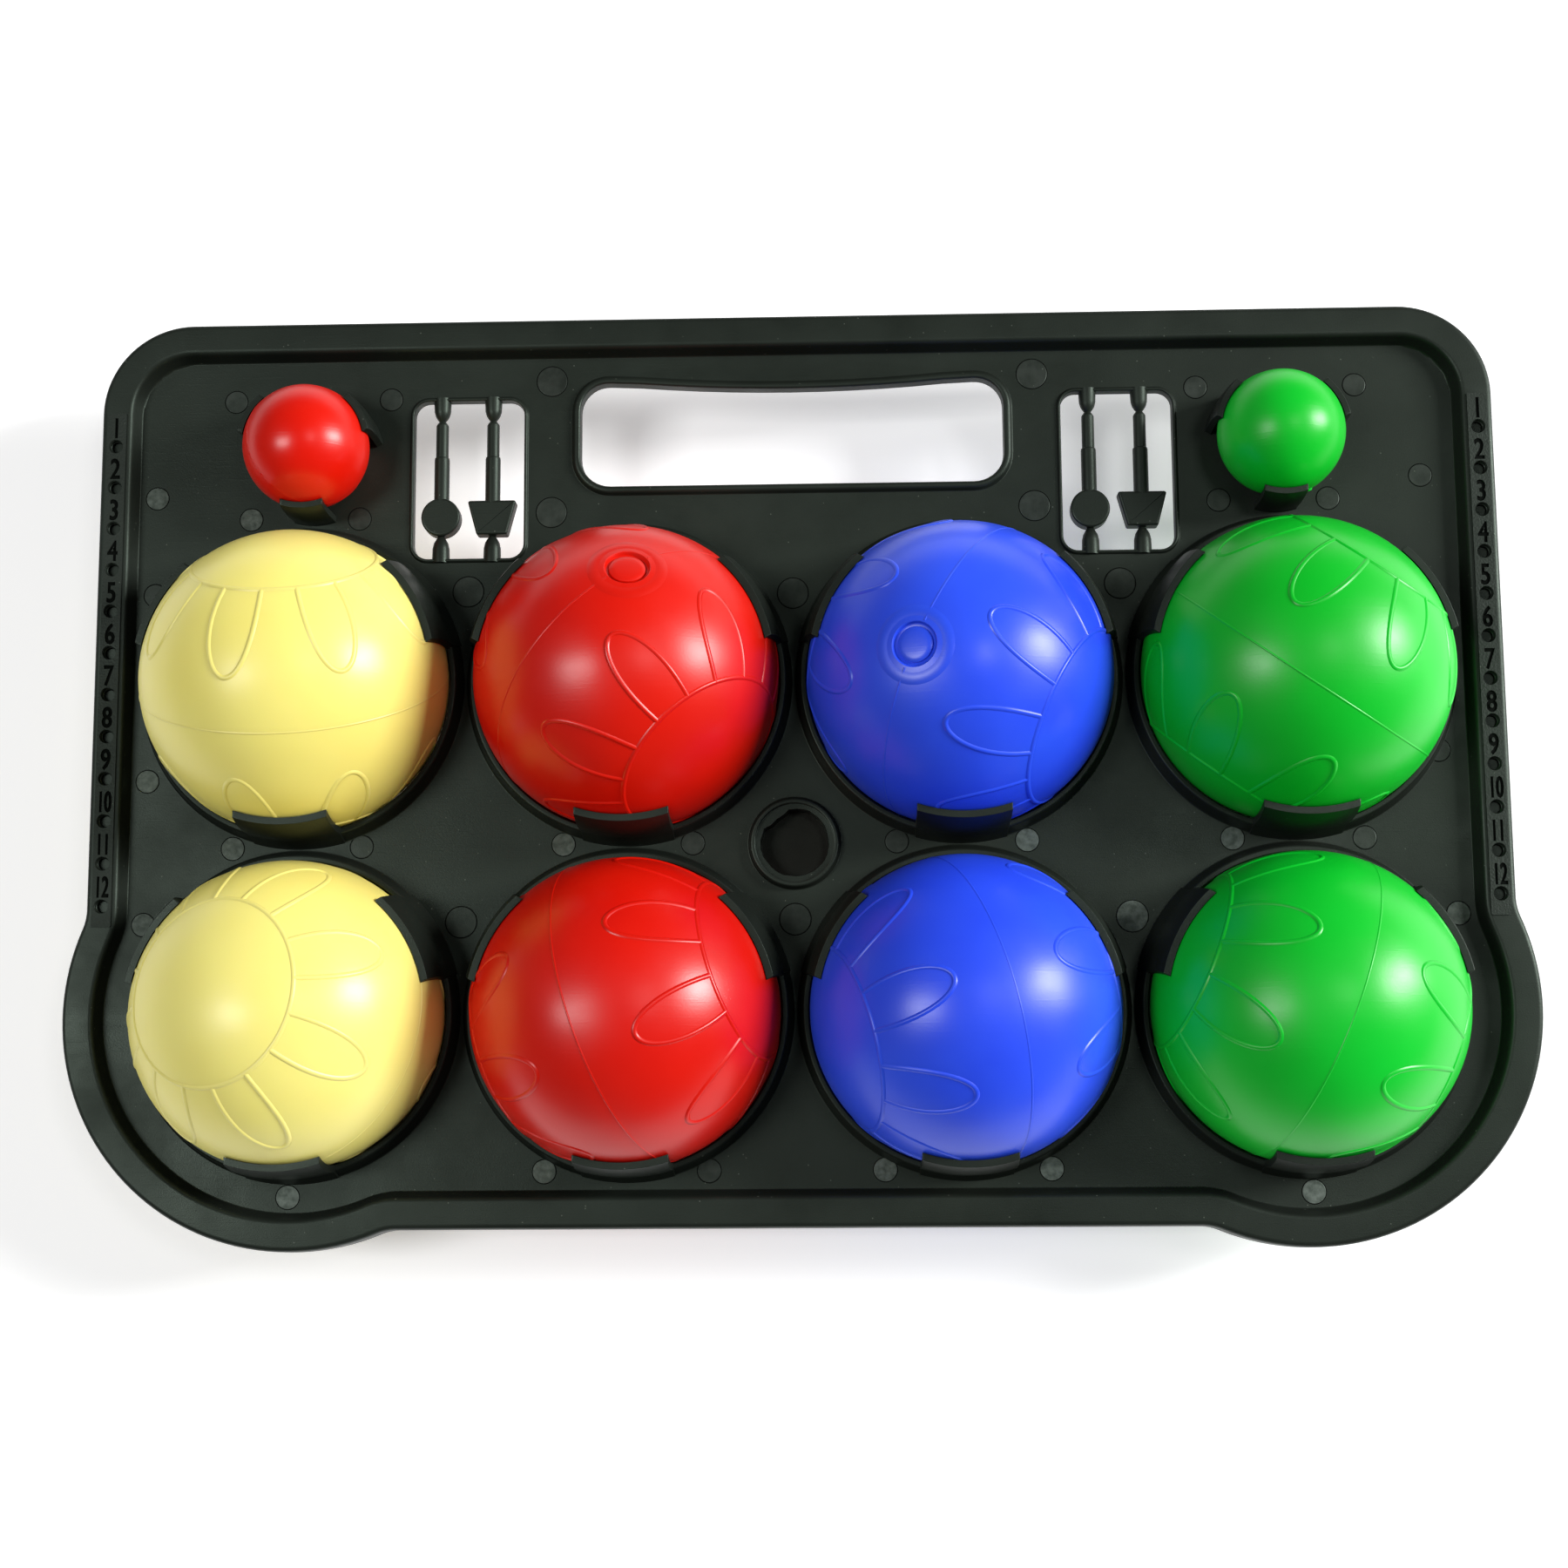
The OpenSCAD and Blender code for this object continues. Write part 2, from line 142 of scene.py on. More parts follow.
def mouldedPlastic(name, look):
    mat, tree, shader, coords = shaderNodes(name)
    broad = addNoise(tree, coords, look["mottleScale"], 4)
    tone = blendColour(tree, remap(tree, broad, 0.35, 0.65, 0, 1), look["dark"], look["light"])
    if look.get("specks"):
        dust = addSpecks(tree, coords, look["specks"], 0.06)
        tone = blendColour(tree, dust, tone, look["speckColour"])
    tree.links.new(tone, shader.inputs["Base Color"])
    smear = addNoise(tree, coords, look["smearScale"], 5, 0.6)
    rough = remap(tree, smear, 0.3, 0.7, look["roughLow"], look["roughHigh"])
    tree.links.new(rough, shader.inputs["Roughness"])
    grain = addNoise(tree, coords, look["grainScale"], 2, 0.5)
    normal = addBump(tree, grain, look["grainDepth"], 1.0)
    scratch = addNoise(tree, coords, look["scratchScale"], 2, 0.5, ((1, 22, 1), (0, 0, 0.9)))
    normal = addBump(tree, remap(tree, scratch, 0.60, 0.66, 0, 1), look["scratchDepth"], 1.0, normal)
    wave = addNoise(tree, coords, look["waveScale"], 1, 0.5)
    normal = addBump(tree, wave, look["waveDepth"], 1.0, normal)
    tree.links.new(normal, shader.inputs["Normal"])
    shader.inputs["IOR"].default_value = 1.49
    shader.inputs["Specular IOR Level"].default_value = look.get("gloss", 0.5)
    shader.inputs["Specular Tint"].default_value = (*look.get("sheen", (1, 1, 1)), 1)
    shader.inputs["Subsurface Weight"].default_value = look.get("glow", 0.0)
    shader.inputs["Subsurface Radius"].default_value = look.get("glowRadius", (0.004, 0.004, 0.004))
    shader.inputs["Subsurface Scale"].default_value = 1.0
    return mat


trayLook = {"mottleScale": 22, "dark": (0.0080, 0.0100, 0.0078), "light": (0.0120, 0.0150, 0.0118),
            "specks": 260, "speckColour": (0.07, 0.08, 0.065), "sheen": (0.80, 1.0, 0.84), "gloss": 0.3,
            "smearScale": 34, "roughLow": 0.34, "roughHigh": 0.52, "grainScale": 2600, "grainDepth": 0.00003,
            "scratchScale": 90, "scratchDepth": 0.000006, "waveScale": 30, "waveDepth": 0.0004}
stripLook = dict(trayLook, roughLow=0.5, roughHigh=0.68, grainScale=1500, grainDepth=0.00018,
                 dark=(0.011, 0.013, 0.011), light=(0.018, 0.021, 0.018))
clipLook = dict(trayLook, roughLow=0.3, roughHigh=0.45, waveDepth=0.0002)
paleMarkLook = dict(trayLook, dark=(0.045, 0.056, 0.047), light=(0.105, 0.125, 0.108), mottleScale=500,
                    roughLow=0.45, roughHigh=0.7, scratchScale=300)
darkMarkLook = dict(trayLook, dark=(0.012, 0.0145, 0.012), light=(0.024, 0.028, 0.024), mottleScale=260)
ballLooks = {
    "yellow": {"dark": (0.89, 0.775, 0.19), "light": (0.94, 0.845, 0.255),
               "glow": 0.12, "glowRadius": (0.006, 0.004, 0.001)},
    "red": {"dark": (0.60, 0.004, 0.0005), "light": (0.70, 0.010, 0.001),
            "glow": 0.06, "glowRadius": (0.006, 0.0006, 0.0003)},
    "blue": {"dark": (0.014, 0.050, 0.72), "light": (0.030, 0.095, 0.88),
             "glow": 0.06, "glowRadius": (0.0005, 0.001, 0.006)},
    "green": {"dark": (0.001, 0.42, 0.016), "light": (0.002, 0.52, 0.026),
              "glow": 0.06, "glowRadius": (0.0005, 0.006, 0.001)},
}
ballBase = {"mottleScale": 9, "gloss": 0.42, "smearScale": 26, "roughLow": 0.29,
            "roughHigh": 0.40, "grainScale": 1500, "grainDepth": 0.00001, "scratchScale": 45,
            "scratchDepth": 0.000004, "waveScale": 40, "waveDepth": 0.00035}
jackFinish = {"roughLow": 0.28, "roughHigh": 0.42, "gloss": 0.34, "scratchDepth": 0.000008}
# near-black matt plastic that paints shade: the floor of the sunken numbers, the insides of the score holes
# and the line round each mould mark
paintedShadeLook = dict(trayLook, dark=(0.0015, 0.0018, 0.0015), light=(0.003, 0.0035, 0.003), specks=None,
               gloss=0.05, roughLow=0.7, roughHigh=0.9)
# dark brown matt plastic that paints the shade inside the centre socket
paintedShadeSocketLook = dict(paintedShadeLook, dark=(0.0045, 0.0026, 0.0022), light=(0.008, 0.0045, 0.004), gloss=0.2,
               roughLow=0.3, roughHigh=0.5)
trayPlastic = mouldedPlastic("blackTrayPlastic", trayLook)
paintedShadeSocketPlastic = mouldedPlastic("paintedShadeSocketMaterial", paintedShadeSocketLook)
paintedShadePlastic = mouldedPlastic("paintedShadeMaterial", paintedShadeLook)
stripPlastic = mouldedPlastic("texturedStripPlastic", stripLook)
clipPlastic = mouldedPlastic("blackClipPlastic", clipLook)
markerPlastic = mouldedPlastic("blackMarkerPlastic", dict(clipLook, roughLow=0.38, roughHigh=0.5))
paleMark = mouldedPlastic("rubbedMouldMark", paleMarkLook)
darkMark = mouldedPlastic("darkMouldMark", darkMarkLook)
ballPlastic = {}
jackPlastic = {}
for colourName in colours:
    look = dict(ballBase, **ballLooks[colourName])
    ballPlastic[colourName] = mouldedPlastic(colourName + "BallPlastic", look)
    jackPlastic[colourName] = mouldedPlastic(colourName + "JackPlastic", dict(look, **jackFinish))


def waterMaterial():
    mat, tree, shader, coords = shaderNodes("clearWater")
    ripple = addNoise(tree, coords, 25, 2)
    tree.links.new(addBump(tree, ripple, 0.0003, 0.5), shader.inputs["Normal"])
    tone = blendColour(tree, ripple, (0.70, 0.86, 0.93), (0.80, 0.92, 0.97))
    tree.links.new(tone, shader.inputs["Base Color"])
    shader.inputs["Roughness"].default_value = 0.05
    shader.inputs["IOR"].default_value = 1.33
    shader.inputs["Transmission Weight"].default_value = 0.9
    return mat


water = waterMaterial()
for nodeName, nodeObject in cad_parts.items():
    if nodeName.startswith("water_"):
        nodeObject.data.materials.clear()
        nodeObject.data.materials.append(water)
print("stage: materials ready")


def makePiece(bm, name, mat, body, nodes=(), sharpAngle=35, weighted=False):
    bmesh.ops.scale(bm, vec=(mm, mm, mm), verts=bm.verts)
    bm.normal_update()
    for face in bm.faces:
        face.smooth = True
    for edge in bm.edges:
        if len(edge.link_faces) == 2 and edge.calc_face_angle(0) > math.radians(sharpAngle):
            edge.smooth = False
    mesh = bpy.data.meshes.new(name)
    bm.to_mesh(mesh)
    bm.free()
    mesh.materials.append(mat)
    piece = bpy.data.objects.new(name, mesh)
    scene.collection.objects.link(piece)
    if weighted:
        finish = piece.modifiers.new("evenShading", "WEIGHTED_NORMAL")
        finish.keep_sharp = True
        finish.weight = 90
    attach(piece, body)
    if nodes:
        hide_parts(*nodes)
    return piece


def addCopy(bm, other, matrix=None):
    # puts a copy of another bmesh into this one
    copy = other.copy()
    if matrix is not None:
        bmesh.ops.transform(copy, matrix=matrix, verts=copy.verts)
    mesh = bpy.data.meshes.new("spare")
    copy.to_mesh(mesh)
    copy.free()
    bm.from_mesh(mesh)
    bpy.data.meshes.remove(mesh)


def newVerts(grown):
    return [v for v in grown["geom"] if isinstance(v, bmesh.types.BMVert)]


def stepInwards(bm, face, steps):
    # walks a flat face inwards and up or down, leaving a ring of faces at each step
    for inwards, upwards in steps:
        bmesh.ops.inset_region(bm, faces=[face], thickness=inwards, depth=upwards, use_boundary=True,
                               use_even_offset=True)


def opening(bm, face, steps):
    # shapes a hole from its flat face and leaves its far end open
    stepInwards(bm, face, steps)
    bmesh.ops.delete(bm, geom=[face], context="FACES")


def fillLevel(bm, z, up):
    # fills the flat area between all the open loops at one height
    edges = [e for e in bm.edges if e.is_boundary and all(abs(v.co.z - z) < 0.002 for v in e.verts)]
    bmesh.ops.triangle_fill(bm, edges=edges, use_beauty=True, normal=(0, 0, up))


def discFace(bm, x, y, z, radius, segments, down=False):
    made = bmesh.ops.create_circle(bm, cap_ends=True, segments=segments, radius=radius,
                                   matrix=Matrix.Translation((x, y, z)))
    face = made["verts"][0].link_faces[0]
    turnFace(face, down)
    return face


def turnFace(face, down):
    face.normal_update()
    if (face.normal.z < 0) != down:
        face.normal_flip()


def roundedFace(bm, corners, z, down=False, steps=10):
    # corners are (x, y, radius); radius 0 keeps a corner sharp
    verts = [bm.verts.new((x, y, z)) for x, y, radius in corners]
    bm.faces.new(verts)
    for vert, corner in zip(verts, corners):
        if corner[2] > 0:
            bmesh.ops.bevel(bm, geom=[vert], offset=corner[2], offset_type="OFFSET", segments=steps,
                            profile=0.5, affect="VERTICES", material=-1)
    bm.verts.ensure_lookup_table()
    face = [f for f in bm.faces if abs(f.calc_center_median().z - z) < 1e-4][-1]
    turnFace(face, down)
    return face


def boxCorners(x, low, high, half, radius, sag=0, sagSteps=12):
    # a rounded window; its top edge can sag in the middle
    corners = [(x - half, low, radius), (x + half, low, radius), (x + half, high, radius)]
    if sag:
        reach = half - radius
        for k in range(1, sagSteps):
            t = 1 - 2 * k / sagSteps
            corners.append((x + t * reach, high - sag * (1 - t * t), 0))
    corners.append((x - half, high, radius))
    return corners


def outlineFace(bm, z, down=False):
    # right half: top middle, corner, side, lobe and back along the bottom, then mirrored
    side = tray["sideHalf"]
    top = midY + tray["topFromMid"]
    low = midY - tray["bottomFromMid"]
    seat = seatPlace["green", "bottom"]
    lobe = tray["lobeRadius"]
    startAngle = math.acos((side - seat.x) / lobe)
    endAngle = -math.pi + math.asin((seat.y - low) / lobe)
    corner = bm.verts.new((side, top, z))
    joint = bm.verts.new((side, seat.y + lobe * math.sin(startAngle), z))
    first = bm.verts.new((0, top, z))
    bm.edges.new((first, corner))
    bm.edges.new((corner, joint))
    spun = bmesh.ops.spin(bm, geom=[joint], cent=(seat.x, seat.y, z), axis=(0, 0, 1),
                          angle=endAngle - startAngle, steps=56, use_merge=False)
    last = [v for v in spun["geom_last"] if isinstance(v, bmesh.types.BMVert)][0]
    middle = bm.verts.new((0, low, z))
    bm.edges.new((last, middle))
    half = [v for v in bm.verts if abs(v.co.z - z) < 1e-4 and v.link_edges and not v.link_faces]
    geom = half + list({e for v in half for e in v.link_edges})
    bmesh.ops.mirror(bm, geom=geom, axis="X", merge_dist=0.001)
    loop = [v for v in bm.verts if abs(v.co.z - z) < 1e-4 and not v.link_faces]
    bmesh.ops.remove_doubles(bm, verts=loop, dist=0.001)
    loop = [v for v in bm.verts if abs(v.co.z - z) < 1e-4 and not v.link_faces]
    edges = list({e for v in loop for e in v.link_edges})
    bmesh.ops.contextual_create(bm, geom=edges)
    face = [f for f in bm.faces if len(f.verts) > 100][-1]
    for vert in list(face.verts):
        x, y = abs(vert.co.x), vert.co.y
        if abs(x - side) < 0.01 and abs(y - top) < 0.01:
            bmesh.ops.bevel(bm, geom=[vert], offset=tray["cornerRadius"], offset_type="OFFSET", segments=20,
                            profile=0.5, affect="VERTICES", material=-1)
    face = [f for f in bm.faces if len(f.verts) > 100][-1]
    for vert in list(face.verts):
        x, y = abs(vert.co.x), vert.co.y
        atSide = abs(x - side) < 0.01 and y < seat.y + lobe
        atLow = abs(y - low) < 0.01 and x > 1
        if atSide or atLow:
            bmesh.ops.bevel(bm, geom=[vert], offset=tray["joinRound"], offset_type="OFFSET", segments=4,
                            profile=0.5, affect="VERTICES", material=-1)
    face = [f for f in bm.faces if len(f.verts) > 100][-1]
    turnFace(face, down)
    return face


# steps are (inwards, upwards) in millimetres
rimOutside = [(0.5, 5.9), (0.1, 0.7), (0.2, 0.6), (0.35, 0.45), (0.5, 0.25), (0.65, 0.1)]
rimFlat = 6.15
rimInside = [(0.7, -0.15), (0.5, -0.35), (0.35, -0.6), (0.15, -0.6), (0.95, -3.1), (0.2, -0.4), (0.3, -0.3)]
collarRadius = 49.0
collarSteps = [(0.3, 0.1), (0.2, 0.4), (1.2, 4.2), (0.15, 0.45), (0.3, 0.3), (0.25, 0.05), (0.9, 0),
               (0.2, -0.08), (0.12, -0.25), (0.98, -5.17), (0.86, -2.5)]
slotSteps = [(0.3, 0.15), (0.25, 0.6), (0.25, 0.5), (0.4, 0.35), (0.5, 0.1), (0.5, 0), (0.4, -0.15),
             (0.25, -0.45), (0.15, -3.6)]
windowSteps = [(0.2, 0.1), (0.2, 0.45), (0.25, 0.25), (0.3, 0.05), (0.25, -0.1), (0.2, -0.45), (0.1, -2.8)]
jackSteps = [(0.15, -0.15), (2.9, -2.35)]
bossSteps = [(0.3, 0.1), (0.2, 0.5), (0.3, 1.9), (0.25, 0.35), (0.35, 0.15), (0.6, 0), (0.25, -0.15),
             (0.05, -1.35), (0.25, -0.05)]
holeSteps = [(0.12, -0.1), (0.06, -0.9), (0.22, -0.15), (0.1, -6.35)]
slot = {"half": 64, "low": 109.7, "high": 142, "round": 9, "sag": 2.9, "lip": 3.0}
window = {"x": 98.2, "half": 16.7, "low": 88.1, "high": 137, "round": 4.5, "lip": 1.5}
boss = {"x": 0, "y": 0.5, "radius": 14.0, "cupRadius": 13.5, "floorDrop": 6, "cupDrop": 4.7, "pit": 10.3,
        "torn": 0.16}
jackSeat = {"x": 145, "y": 119.7, "radius": 13.95}
score = {"x": 204.9, "firstY": 122.9, "pitch": 12.7, "count": 12, "radius": 2.1, "tube": 3.4}


def heightSum(steps):
    return sum(up for inward, up in steps)


def inwardSum(steps):
    return sum(inward for inward, up in steps)


def scorePlaces():
    for side in (-1, 1):
        for k in range(score["count"]):
            yield side * score["x"], midY + score["firstY"] - k * score["pitch"]


def raggedEdge(face, amount):
    # a torn edge: an uneven line with a flake left on at one place
    centre = Vector((boss["x"], midY + boss["y"], 0))
    drift = 0
    for loop in face.loops:
        outwards = (loop.vert.co - centre) * Vector((1, 1, 0))
        outwards.normalize()
        drift = 0.75 * drift + random.uniform(-amount, amount)
        flake = 1.6 * max(0, outwards.dot(Vector((-0.6, 0.8, 0))) - 0.9) * 10
        loop.vert.co += outwards * (drift - min(flake, 1.1))


def buildTray():
    bm = bmesh.new()
    # top skin: rim, then the openings, then the panel between them
    face = outlineFace(bm, backZ)
    stepInwards(bm, face, rimOutside)
    ring = bmesh.ops.inset_region(bm, faces=[face], thickness=rimFlat, depth=0, use_boundary=True,
                                  use_even_offset=True)["faces"]
    opening(bm, face, rimInside)
    bmesh.ops.delete(bm, geom=ring, context="FACES")
    rimTopZ = backZ + heightSum(rimOutside)
    for x, y in scorePlaces():
        opening(bm, discFace(bm, x, y, rimTopZ, score["radius"], 24), holeSteps)
    fillLevel(bm, rimTopZ, 1)
    print("stage: rim done")

    for place in seatPlace.values():
        opening(bm, discFace(bm, place.x, place.y, panelZ, collarRadius, 128), collarSteps)
    for side in (-1, 1):
        mouth = discFace(bm, side * jackSeat["x"], midY + jackSeat["y"], panelZ, jackSeat["radius"], 64)
        opening(bm, mouth, jackSteps)
        grow = window["lip"]
        corners = boxCorners(side * window["x"], midY + window["low"] - grow, midY + window["high"] + grow,
                             window["half"] + grow, window["round"] + grow)
        opening(bm, roundedFace(bm, corners, panelZ), windowSteps)
    grow = slot["lip"]
    corners = boxCorners(0, midY + slot["low"] - grow, midY + slot["high"] + grow, slot["half"] + grow,
                         slot["round"] + grow, slot["sag"])
    opening(bm, roundedFace(bm, corners, panelZ), slotSteps)
    socket = discFace(bm, boss["x"], midY + boss["y"], panelZ, boss["radius"], 72)
    stepInwards(bm, socket, bossSteps + [(1.3, -0.1)])
    raggedEdge(socket, boss["torn"])
    stepInwards(bm, socket, [(0.1, -0.5), (0.1, -boss["floorDrop"] - heightSum(bossSteps) + 0.6)])
    fillLevel(bm, panelZ, 1)
    print("stage: panel done")

    # underside: the rim is an open channel, and the centre cup stands out
    under = bmesh.new()
    wall = tray["rimWall"]
    channel = rimTopZ - backZ - wall
    channelSteps = [(wall, 0), (1.0, -channel), (5.2, 0), (1.0, channel)]
    opening(under, outlineFace(under, backZ, down=True), channelSteps)
    cup = discFace(under, boss["x"], midY + boss["y"], backZ, boss["cupRadius"], 72, down=True)
    stepInwards(under, cup, [(0.3, boss["cupDrop"] - 0.5), (0.5, 0.5)])
    addCopy(bm, under)
    under.free()
    tube = bmesh.new()  # tubes round the score holes, under the rim
    mouth = discFace(tube, 0, 0, rimTopZ + heightSum(holeSteps), score["tube"], 24, down=True)
    opening(tube, mouth, [(score["tube"] - score["radius"] + inwardSum(holeSteps), 0)])
    outer = [e for e in tube.edges
             if e.is_boundary and all(v.co.xy.length > score["radius"] for v in e.verts)]
    grown = bmesh.ops.extrude_edge_only(tube, edges=outer)
    bmesh.ops.translate(tube, vec=(0, 0, channel + 0.4), verts=newVerts(grown))
    for x, y in scorePlaces():
        addCopy(bm, tube, Matrix.Translation((x, y, 0)))
    tube.free()
    bmesh.ops.remove_doubles(bm, verts=bm.verts, dist=0.02)
    fillLevel(bm, backZ, -1)
    return bm


# rods are lists of (distance up the window, radius)
marker = {"z": panelZ - tray["panelThickness"] / 2, "roundX": -8.5, "taperedX": 7.1, "headThick": 4.6,
          "lowStub": [(-1.2, 2.7), (3.2, 2.6), (5.0, 2.2), (6.2, 1.5), (6.9, 1.0)],
          "highStub": [(43.0, 1.0), (43.6, 1.5), (44.6, 2.1), (46.0, 2.5), (50.1, 2.7)],
          "rod": [(6.9, 1.0), (7.3, 1.6), (8.0, 2.1), (9.0, 2.3), (30.9, 2.3), (31.5, 2.2), (31.7, 1.9),
                  (41.6, 1.9), (42.2, 1.6), (42.7, 1.2), (43, 1.0)],
          "roundHead": (12.8, 5.9),  # distance up, radius
          "taperedHead": [(-4.6, 7.2, 0.5), (4.6, 7.2, 0.5), (7.45, 17.8, 0.9), (-7.45, 17.8, 0.9)],
          "headSteps": [(0.12, 0.35), (0.25, 0.25), (0.45, 0.1)]}


def turnedRod(bm, x, stations, segments=24):
    # stations are (distance along, radius)
    start = bmesh.ops.create_circle(bm, cap_ends=True, segments=segments, radius=stations[0][1],
                                    matrix=Matrix.Rotation(math.radians(-90), 4, "X"))
    face = start["verts"][0].link_faces[0]
    face.normal_update()
    if face.normal.y < 0:
        face.normal_flip()
    bmesh.ops.translate(bm, vec=(x, stations[0][0], 0), verts=start["verts"])
    seat = face.copy()
    seat.normal_flip()
    for (y0, r0), (y1, r1) in zip(stations, stations[1:]):
        grown = bmesh.ops.extrude_discrete_faces(bm, faces=[face])
        face = grown["faces"][0]
        ratio = r1 / r0
        bmesh.ops.translate(bm, vec=(0, y1 - y0, 0), verts=face.verts)
        bmesh.ops.scale(bm, vec=(ratio, 1, ratio), verts=face.verts,
                        space=Matrix.Translation((-x, 0, 0)))
    bmesh.ops.remove_doubles(bm, verts=bm.verts, dist=0.0005)


def windowMatrix(side):
    return Matrix.Translation((side * window["x"], midY + window["low"], marker["z"]))


def addStubs(bm):
    part = bmesh.new()
    for x in (marker["roundX"], marker["taperedX"]):
        turnedRod(part, x, marker["lowStub"])
        turnedRod(part, x, marker["highStub"])
    for side in (-1, 1):
        addCopy(bm, part, windowMatrix(side))
    part.free()


trayMesh = buildTray()
addStubs(trayMesh)
trayPiece = makePiece(trayMesh, "carryTray", trayPlastic, "tray", ["carry_tray"], 50, True)
print("stage: tray done,", len(trayPiece.data.polygons), "faces")


strip = {"inner": 201.9, "outer": 207.75, "top": 133.1, "bottom": -23.0, "thick": 0.45, "digitSize": 8.7,
         "digitUp": 2.75, "bold": 0.24, "squeeze": (0.72, 0.50)}  # squeeze for one digit, for two


def pushOutline(part, amount):
    # moves the outline of flat faces outwards, which makes the strokes bolder
    pushes = {v: Vector() for v in part.verts}
    for edge in part.edges:
        if edge.is_boundary:
            loop = edge.link_loops[0]
            start, end = loop.vert, loop.link_loop_next.vert
            along = (end.co - start.co).normalized()
            for vert in (start, end):
                pushes[vert] += Vector((along.y, -along.x, 0))
    for vert, push in pushes.items():
        if push.length > 0.1:
            vert.co += push.normalized() * amount


def digitLoops(bm, text, x, y, z):
    # outlines of a number, standing above its hole
    curve = bpy.data.curves.new("number", "FONT")
    curve.body = text
    curve.size = strip["digitSize"]
    curve.align_x = "CENTER"
    curve.resolution_u = 3
    holder = bpy.data.objects.new("number", curve)
    scene.collection.objects.link(holder)
    bpy.context.view_layer.update()
    mesh = bpy.data.meshes.new_from_object(holder)
    squeeze = strip["squeeze"][len(text) - 1]
    mesh.transform(Matrix.Translation((x, y, z)) @ Matrix.Diagonal((squeeze, 1, 1, 1)))
    part = bmesh.new()
    part.from_mesh(mesh)
    bpy.data.objects.remove(holder)
    bpy.data.curves.remove(curve)
    bpy.data.meshes.remove(mesh)
    bmesh.ops.remove_doubles(part, verts=part.verts, dist=0.002)
    for face in part.faces:
        turnFace(face, False)
    pushOutline(part, strip["bold"])
    inner = [e for e in part.edges if not e.is_boundary]
    bmesh.ops.delete(part, geom=list(part.faces), context="FACES_ONLY")
    bmesh.ops.delete(part, geom=inner, context="EDGES")
    addCopy(bm, part)
    part.free()


def buildStrip(side, baseZ, thick, numbers):
    bm = bmesh.new()
    middle = side * (strip["inner"] + strip["outer"]) / 2
    half = (strip["outer"] - strip["inner"]) / 2
    corners = boxCorners(middle, midY + strip["bottom"], midY + strip["top"], half, 0.4)
    plate = roundedFace(bm, corners, baseZ, steps=2)
    bmesh.ops.delete(bm, geom=[plate], context="FACES_ONLY")
    for k in range(score["count"]):
        y = midY + score["firstY"] - k * score["pitch"]
        bmesh.ops.create_circle(bm, cap_ends=False, segments=24, radius=score["radius"] + 0.05,
                                matrix=Matrix.Translation((side * score["x"], y, baseZ)))
        if numbers:
            digitLoops(bm, str(k + 1), side * score["x"], y + strip["digitUp"], baseZ)
    bmesh.ops.remove_doubles(bm, verts=bm.verts, dist=0.002)
    bmesh.ops.triangle_fill(bm, edges=bm.edges, use_beauty=True, normal=(0, 0, 1))
    grown = bmesh.ops.extrude_face_region(bm, geom=list(bm.faces))
    bmesh.ops.translate(bm, vec=(0, 0, thick), verts=newVerts(grown))
    bmesh.ops.recalc_face_normals(bm, faces=bm.faces)
    return bm


for side, sideName in ((-1, "Left"), (1, "Right")):
    plate = buildStrip(side, rimZ + 0.02, strip["thick"], True)
    makePiece(plate, "scoreStrip" + sideName, stripPlastic, "tray", (), 30)
    bed = buildStrip(side, rimZ - 0.08, 0.16, False)  # painted shade on the floor of the sunken numbers
    makePiece(bed, "numberBed" + sideName, paintedShadePlastic, "tray", (), 30)
liners = bmesh.new()  # painted shade inside the score holes
liner = {"drop": 1.1, "inset": 0.34, "steps": [(0.12, -0.2), (0.12, -6.4)]}
for x, y in scorePlaces():
    mouth = discFace(liners, x, y, rimZ - liner["drop"], score["radius"] - liner["inset"], 24)
    opening(liners, mouth, liner["steps"])
makePiece(liners, "scoreHoleLiners", paintedShadePlastic, "tray", (), 30)
print("stage: score strips done")

inside = bmesh.new()  # painted shade inside the centre socket: a dark brown disc and wall
pit = discFace(inside, boss["x"], midY + boss["y"], panelZ - 0.1, boss["pit"], 64)
stepInwards(inside, pit, [(0.15, -boss["floorDrop"] + 0.35)])
makePiece(inside, "socketInside", paintedShadeSocketPlastic, "tray", (), 30)


# places are (x, y, 1 for a large mark)
marks = {"small": 3.4, "large": 4.6, "height": 0.1, "outline": 0.24,
         "pale": [(-164.5, 101, 0), (-193.5, 108, 0), (-194, 21, 0), (-194, -22, 0), (-167.7, 0.5, 0),
                  (-149, -102, 0), (-68.7, 0.8, 0), (-73.8, -95, 0), (25.6, -95, 0), (68.7, 0.8, 0),
                  (73.8, -95, 0), (129, 0.7, 0), (99, -22, 1), (149, -102, 0), (194, -22, 0)],
         "dark": [(-170, 138, 0), (170, 138, 0), (-122.3, 138, 0), (122.3, 138, 0), (188.6, 109.7, 0),
                  (160.8, 103, 0), (-131.4, 100.8, 0), (128.2, 102.9, 0), (190.3, 26.3, 0), (-193.3, 77.9, 0),
                  (167.7, 0.5, 0), (-129, 0.7, 0), (-30.2, 0.8, 0), (30.2, 0.8, 0), (-25.6, -95, 0),
                  (-73, 143, 1), (73, 143, 1), (-73, 102, 1), (73, 102, 1), (-98, 77.8, 1), (98, 77.8, 1),
                  (-99, -22, 1), (0, 76.1, 1), (0, -22, 1)]}


def markRadius(big):
    return marks["large"] if big else marks["small"]


def buildMarks(places):
    bm = bmesh.new()
    for x, y, big in places:
        face = discFace(bm, x, midY + y, panelZ - 0.05, markRadius(big), 32)
        base = face.copy()
        base.normal_flip()
        stepInwards(bm, face, [(0.04, marks["height"]), (0.12, 0.05)])
    bmesh.ops.remove_doubles(bm, verts=bm.verts, dist=0.0005)
    return bm


